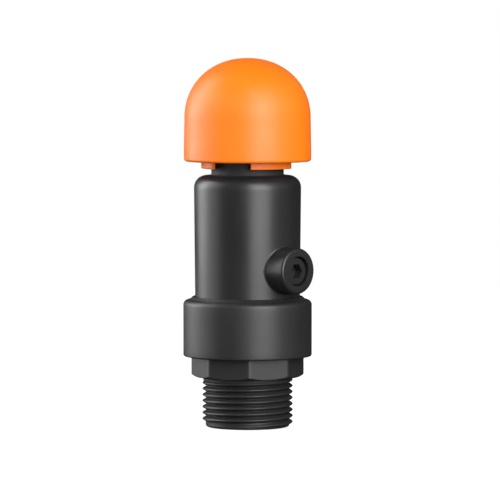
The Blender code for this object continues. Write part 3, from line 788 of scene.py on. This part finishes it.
def fill_screw(head_r, head_h, shank_r, length):
    """Pan head screw for plastics. The underside of the head is at zero, the head points to +Z."""
    core = shank_r * 0.74

    def fill(bm):
        revolve(bm, rounded([(0.0, -length), (core * 0.9, -length + 0.55, 0.1), (core, -length + 0.9), (core, 0.0),
                             (head_r, 0.0, 0.1), (head_r, head_h, 0.5), (0.0, head_h)], 12.0), 56)
    return fill


def build_screw(name, head_r, head_h, shank_r, length, place, body, node):
    screw = solid(name, fill_screw(head_r, head_h, shank_r, length))
    core = shank_r * 0.74
    pitch = 0.42 * head_r
    cut(screw, solid("tool", lambda bm: helix(bm, shank_r, core - 0.06, pitch, -length + 0.75, 0.0,
                                              (length - 1.5) / pitch, 32, 0.08, RAD(26.0), 0.4, 0.06)), "UNION")

    def fill_cross(bm):
        w, reach = 0.15 * head_r, 0.62 * head_r
        extrude_outline(bm, [(reach, -w), (reach, w), (w, w), (w, reach), (-w, reach), (-w, w), (-reach, w),
                             (-reach, -w), (-w, -w), (-w, -reach), (w, -reach), (w, -w)], 0.42 * head_h, head_h + 1.0)
    cut(screw, solid("tool", fill_cross))
    screw.data.transform(place)
    smooth(screw, 34.0)
    put(screw, STEEL, body, node)


def build_screws():
    flip = Matrix.Rotation(math.pi, 4, "X")
    for k, angle in enumerate(SCREW_ANGLES):
        c, w = math.cos(RAD(angle)), math.sin(RAD(angle))
        build_screw("hanger_bolt_%d" % (k + 1), 1.9, 1.2, 0.85, 5.2,
                    Matrix.Translation((HANGER_SCREW_R * c * MM, HANGER_SCREW_R * w * MM, 71.4 * MM)) @ flip,
                    "disc_group", "hanger_screw_%d" % (k + 1))
        build_screw("stem_bolt_%d" % (k + 1), 1.4, 0.9, 0.7, 7.0,
                    Matrix.Translation((STEM_SCREW_R * c * MM, STEM_SCREW_R * w * MM, 58.6 * MM)),
                    "float_group", "stem_screw_%d" % (k + 1))


def build_float():
    body = turned("foam_float", [(0.0, 33.4), (8.0, 33.1), (12.0, 32.7, 1.2), (13.5, 33.3, 1.0), (13.5, 49.7),
                                 (13.42, 49.8, 0.1), (13.42, 50.1, 0.1), (13.5, 50.2), (13.5, 67.2, 1.3),
                                 (9.0, 67.2, 0.7), (9.0, 56.5, 0.4), (0.0, 56.5)], 144)
    drill(body, 1.0, STEM_SCREW_R, 51.0, 57.5)
    smooth(body, 36.0)
    put(body, FOAM, "float_group", "float")

    stem = turned("lifting_stem", [(0.0, 56.8), (6.4, 56.8, 0.3), (6.4, 58.4, 0.35), (2.9, 58.4, 0.6), (2.9, 64.9, 0.25),
                                   (5.6, 64.9, 0.3), (5.6, 66.7, 0.35), (3.6, 66.7, 0.15), (3.6, 67.9, 0.15),
                                   (2.8, 67.9, 0.1), (2.8, 66.6, 0.1), (0.0, 66.6)], 96)
    drill(stem, 1.0, STEM_SCREW_R, 56.0, 59.2)
    smooth(stem, 36.0)
    put(stem, ACETAL, "float_group", "float_stem")
    put(smooth(turned("closing_pad", [(0.0, 66.9), (2.45, 66.9, 0.15), (2.45, 67.9, 0.15), (1.6, 67.9, 0.1),
                                      (1.6, 69.1, 0.25), (0.0, 69.1)], 72)), RUBBER, "float_group", "nozzle_pad")
    put(smooth(turned("pad_cap", [(3.9, 67.0, 0.1), (4.7, 67.0, 0.15), (4.7, 68.8, 0.3), (1.9, 68.8, 0.15),
                                  (1.9, 68.2, 0.12), (3.9, 68.2, 0.15)], 80)),
        ACETAL, "float_group", "pad_retainer")


build_base()
build_body()
build_hood()
build_plug()
build_seals()
build_guard()
build_cage()
build_disc()
build_screws()
build_float()


# ------------------------------------------------------------------ stage
def emission(name, colour, strength):
    mat = bpy.data.materials.new(name)
    mat.use_nodes = True
    nodes = mat.node_tree.nodes
    nodes.clear()
    e = nodes.new("ShaderNodeEmission")
    e.inputs["Color"].default_value = (*colour, 1.0)
    e.inputs["Strength"].default_value = strength
    out = nodes.new("ShaderNodeOutputMaterial")
    mat.node_tree.links.new(e.outputs[0], out.inputs["Surface"])
    return mat


def build_stage():
    """Round pale floor in front of a plain white backdrop, both left out of reflections."""
    bm = bmesh.new()
    bmesh.ops.create_circle(bm, cap_ends=True, segments=128, radius=0.75)
    mesh = bpy.data.meshes.new("floor")
    bm.to_mesh(mesh)
    bm.free()
    floor = bpy.data.objects.new("floor", mesh)
    floor.location.z = -0.0002
    t = Tree("pale_floor")
    soft = t.noise(3.0, 2.0, 0.5)
    base = t.mix(t.span(soft, 0.3, 0.7, 0.0, 1.0), (0.50, 0.50, 0.50), (0.52, 0.52, 0.52))
    t.done(base, None, Roughness=0.85, Specular_IOR_Level=0.1, Emission_Color=(1.0, 1.0, 1.0, 1.0),
           Emission_Strength=0.72)
    mesh.materials.append(t.mat)
    bm = bmesh.new()
    bmesh.ops.create_uvsphere(bm, u_segments=64, v_segments=32, radius=12.0)
    for f in bm.faces:
        f.normal_flip()
    mesh = bpy.data.meshes.new("backdrop")
    bm.to_mesh(mesh)
    bm.free()
    backdrop = bpy.data.objects.new("backdrop", mesh)
    mesh.materials.append(emission("backdrop_white", (1.0, 1.0, 1.0), 1.0))
    for o in (floor, backdrop):
        bpy.context.scene.collection.objects.link(o)
        o.visible_glossy = False
        o.visible_shadow = False
        o.visible_diffuse = False


def soft_box(name, azimuth, distance, low_z, high_z, width, radiance, glossy=True):
    """Upright soft box. Azimuth 0 is towards the viewer, positive to the right."""
    light = bpy.data.lights.new(name, "AREA")
    light.shape = "RECTANGLE"
    light.size, light.size_y = width, high_z - low_z
    light.energy = radiance * width * (high_z - low_z) * math.pi
    obj = bpy.data.objects.new(name, light)
    a = RAD(azimuth)
    obj.location = (distance * math.sin(a), -distance * math.cos(a), (low_z + high_z) / 2.0)
    obj.rotation_euler = (Vector((0.0, 0.0, obj.location.z)) - obj.location).to_track_quat("-Z", "Y").to_euler()
    obj.visible_glossy = glossy
    obj.visible_camera = False
    bpy.context.scene.collection.objects.link(obj)
    return obj


def build_lights():
    soft_box("strip_left", -112.0, 1.0, -0.015, 0.55, 0.58, 7.0)
    soft_box("strip_left_high", -112.0, 1.0, 0.55, 1.35, 0.58, 4.8)
    soft_box("strip_left_soft", -80.0, 1.0, -0.015, 1.1, 0.45, 2.3)
    soft_box("strip_front_right", 28.0, 1.0, -0.015, 0.55, 0.74, 8.5)
    soft_box("strip_front_right_high", 28.0, 1.0, 0.55, 1.35, 0.74, 5.2)
    soft_box("strip_right_soft", 80.0, 1.0, -0.015, 1.6, 0.6, 0.4)
    soft_box("front_left_dim", -35.0, 1.3, 0.0, 1.6, 1.1, 0.1)
    soft_box("low_left", -76.0, 0.42, 0.0, 0.028, 0.2, 2.6)
    soft_box("low_front_right", 15.0, 0.42, 0.0, 0.028, 0.12, 1.6)
    soft_box("fill_front_left", -30.0, 1.6, 0.0, 2.0, 1.6, 0.85, False)
    soft_box("fill_side_left", -78.0, 1.6, 0.0, 1.4, 1.0, 1.1, False)
    soft_box("fill_side_right", 64.0, 1.6, 0.0, 1.4, 1.0, 1.1, False)
    soft_box("fill_rear", 160.0, 1.6, 0.0, 1.8, 1.6, 1.0, False)


build_stage()
build_lights()

world = bpy.data.worlds.new("studio")
bpy.context.scene.world = world
world.use_nodes = True
world.node_tree.nodes["Background"].inputs["Color"].default_value = (1.0, 1.0, 1.0, 1.0)
world.node_tree.nodes["Background"].inputs["Strength"].default_value = 0.05
bpy.context.scene.view_settings.view_transform = "Standard"
bpy.context.scene.view_settings.look = "None"

# ------------------------------------------------------------------ camera
cam_data = bpy.data.cameras.new("camera")
cam_data.sensor_width = 36.0
cam_data.lens = 309.6
cam_data.clip_end = 50.0
cam = bpy.data.objects.new("camera", cam_data)
PITCH = RAD(3.37)
AIM = Vector((0.0009, 0.0, 0.0649))
cam.location = AIM + Vector((0.0, -math.cos(PITCH), math.sin(PITCH))) * 1.578
cam.rotation_euler = (math.pi / 2.0 - PITCH, 0.0, 0.0)
bpy.context.scene.collection.objects.link(cam)
bpy.context.scene.camera = cam
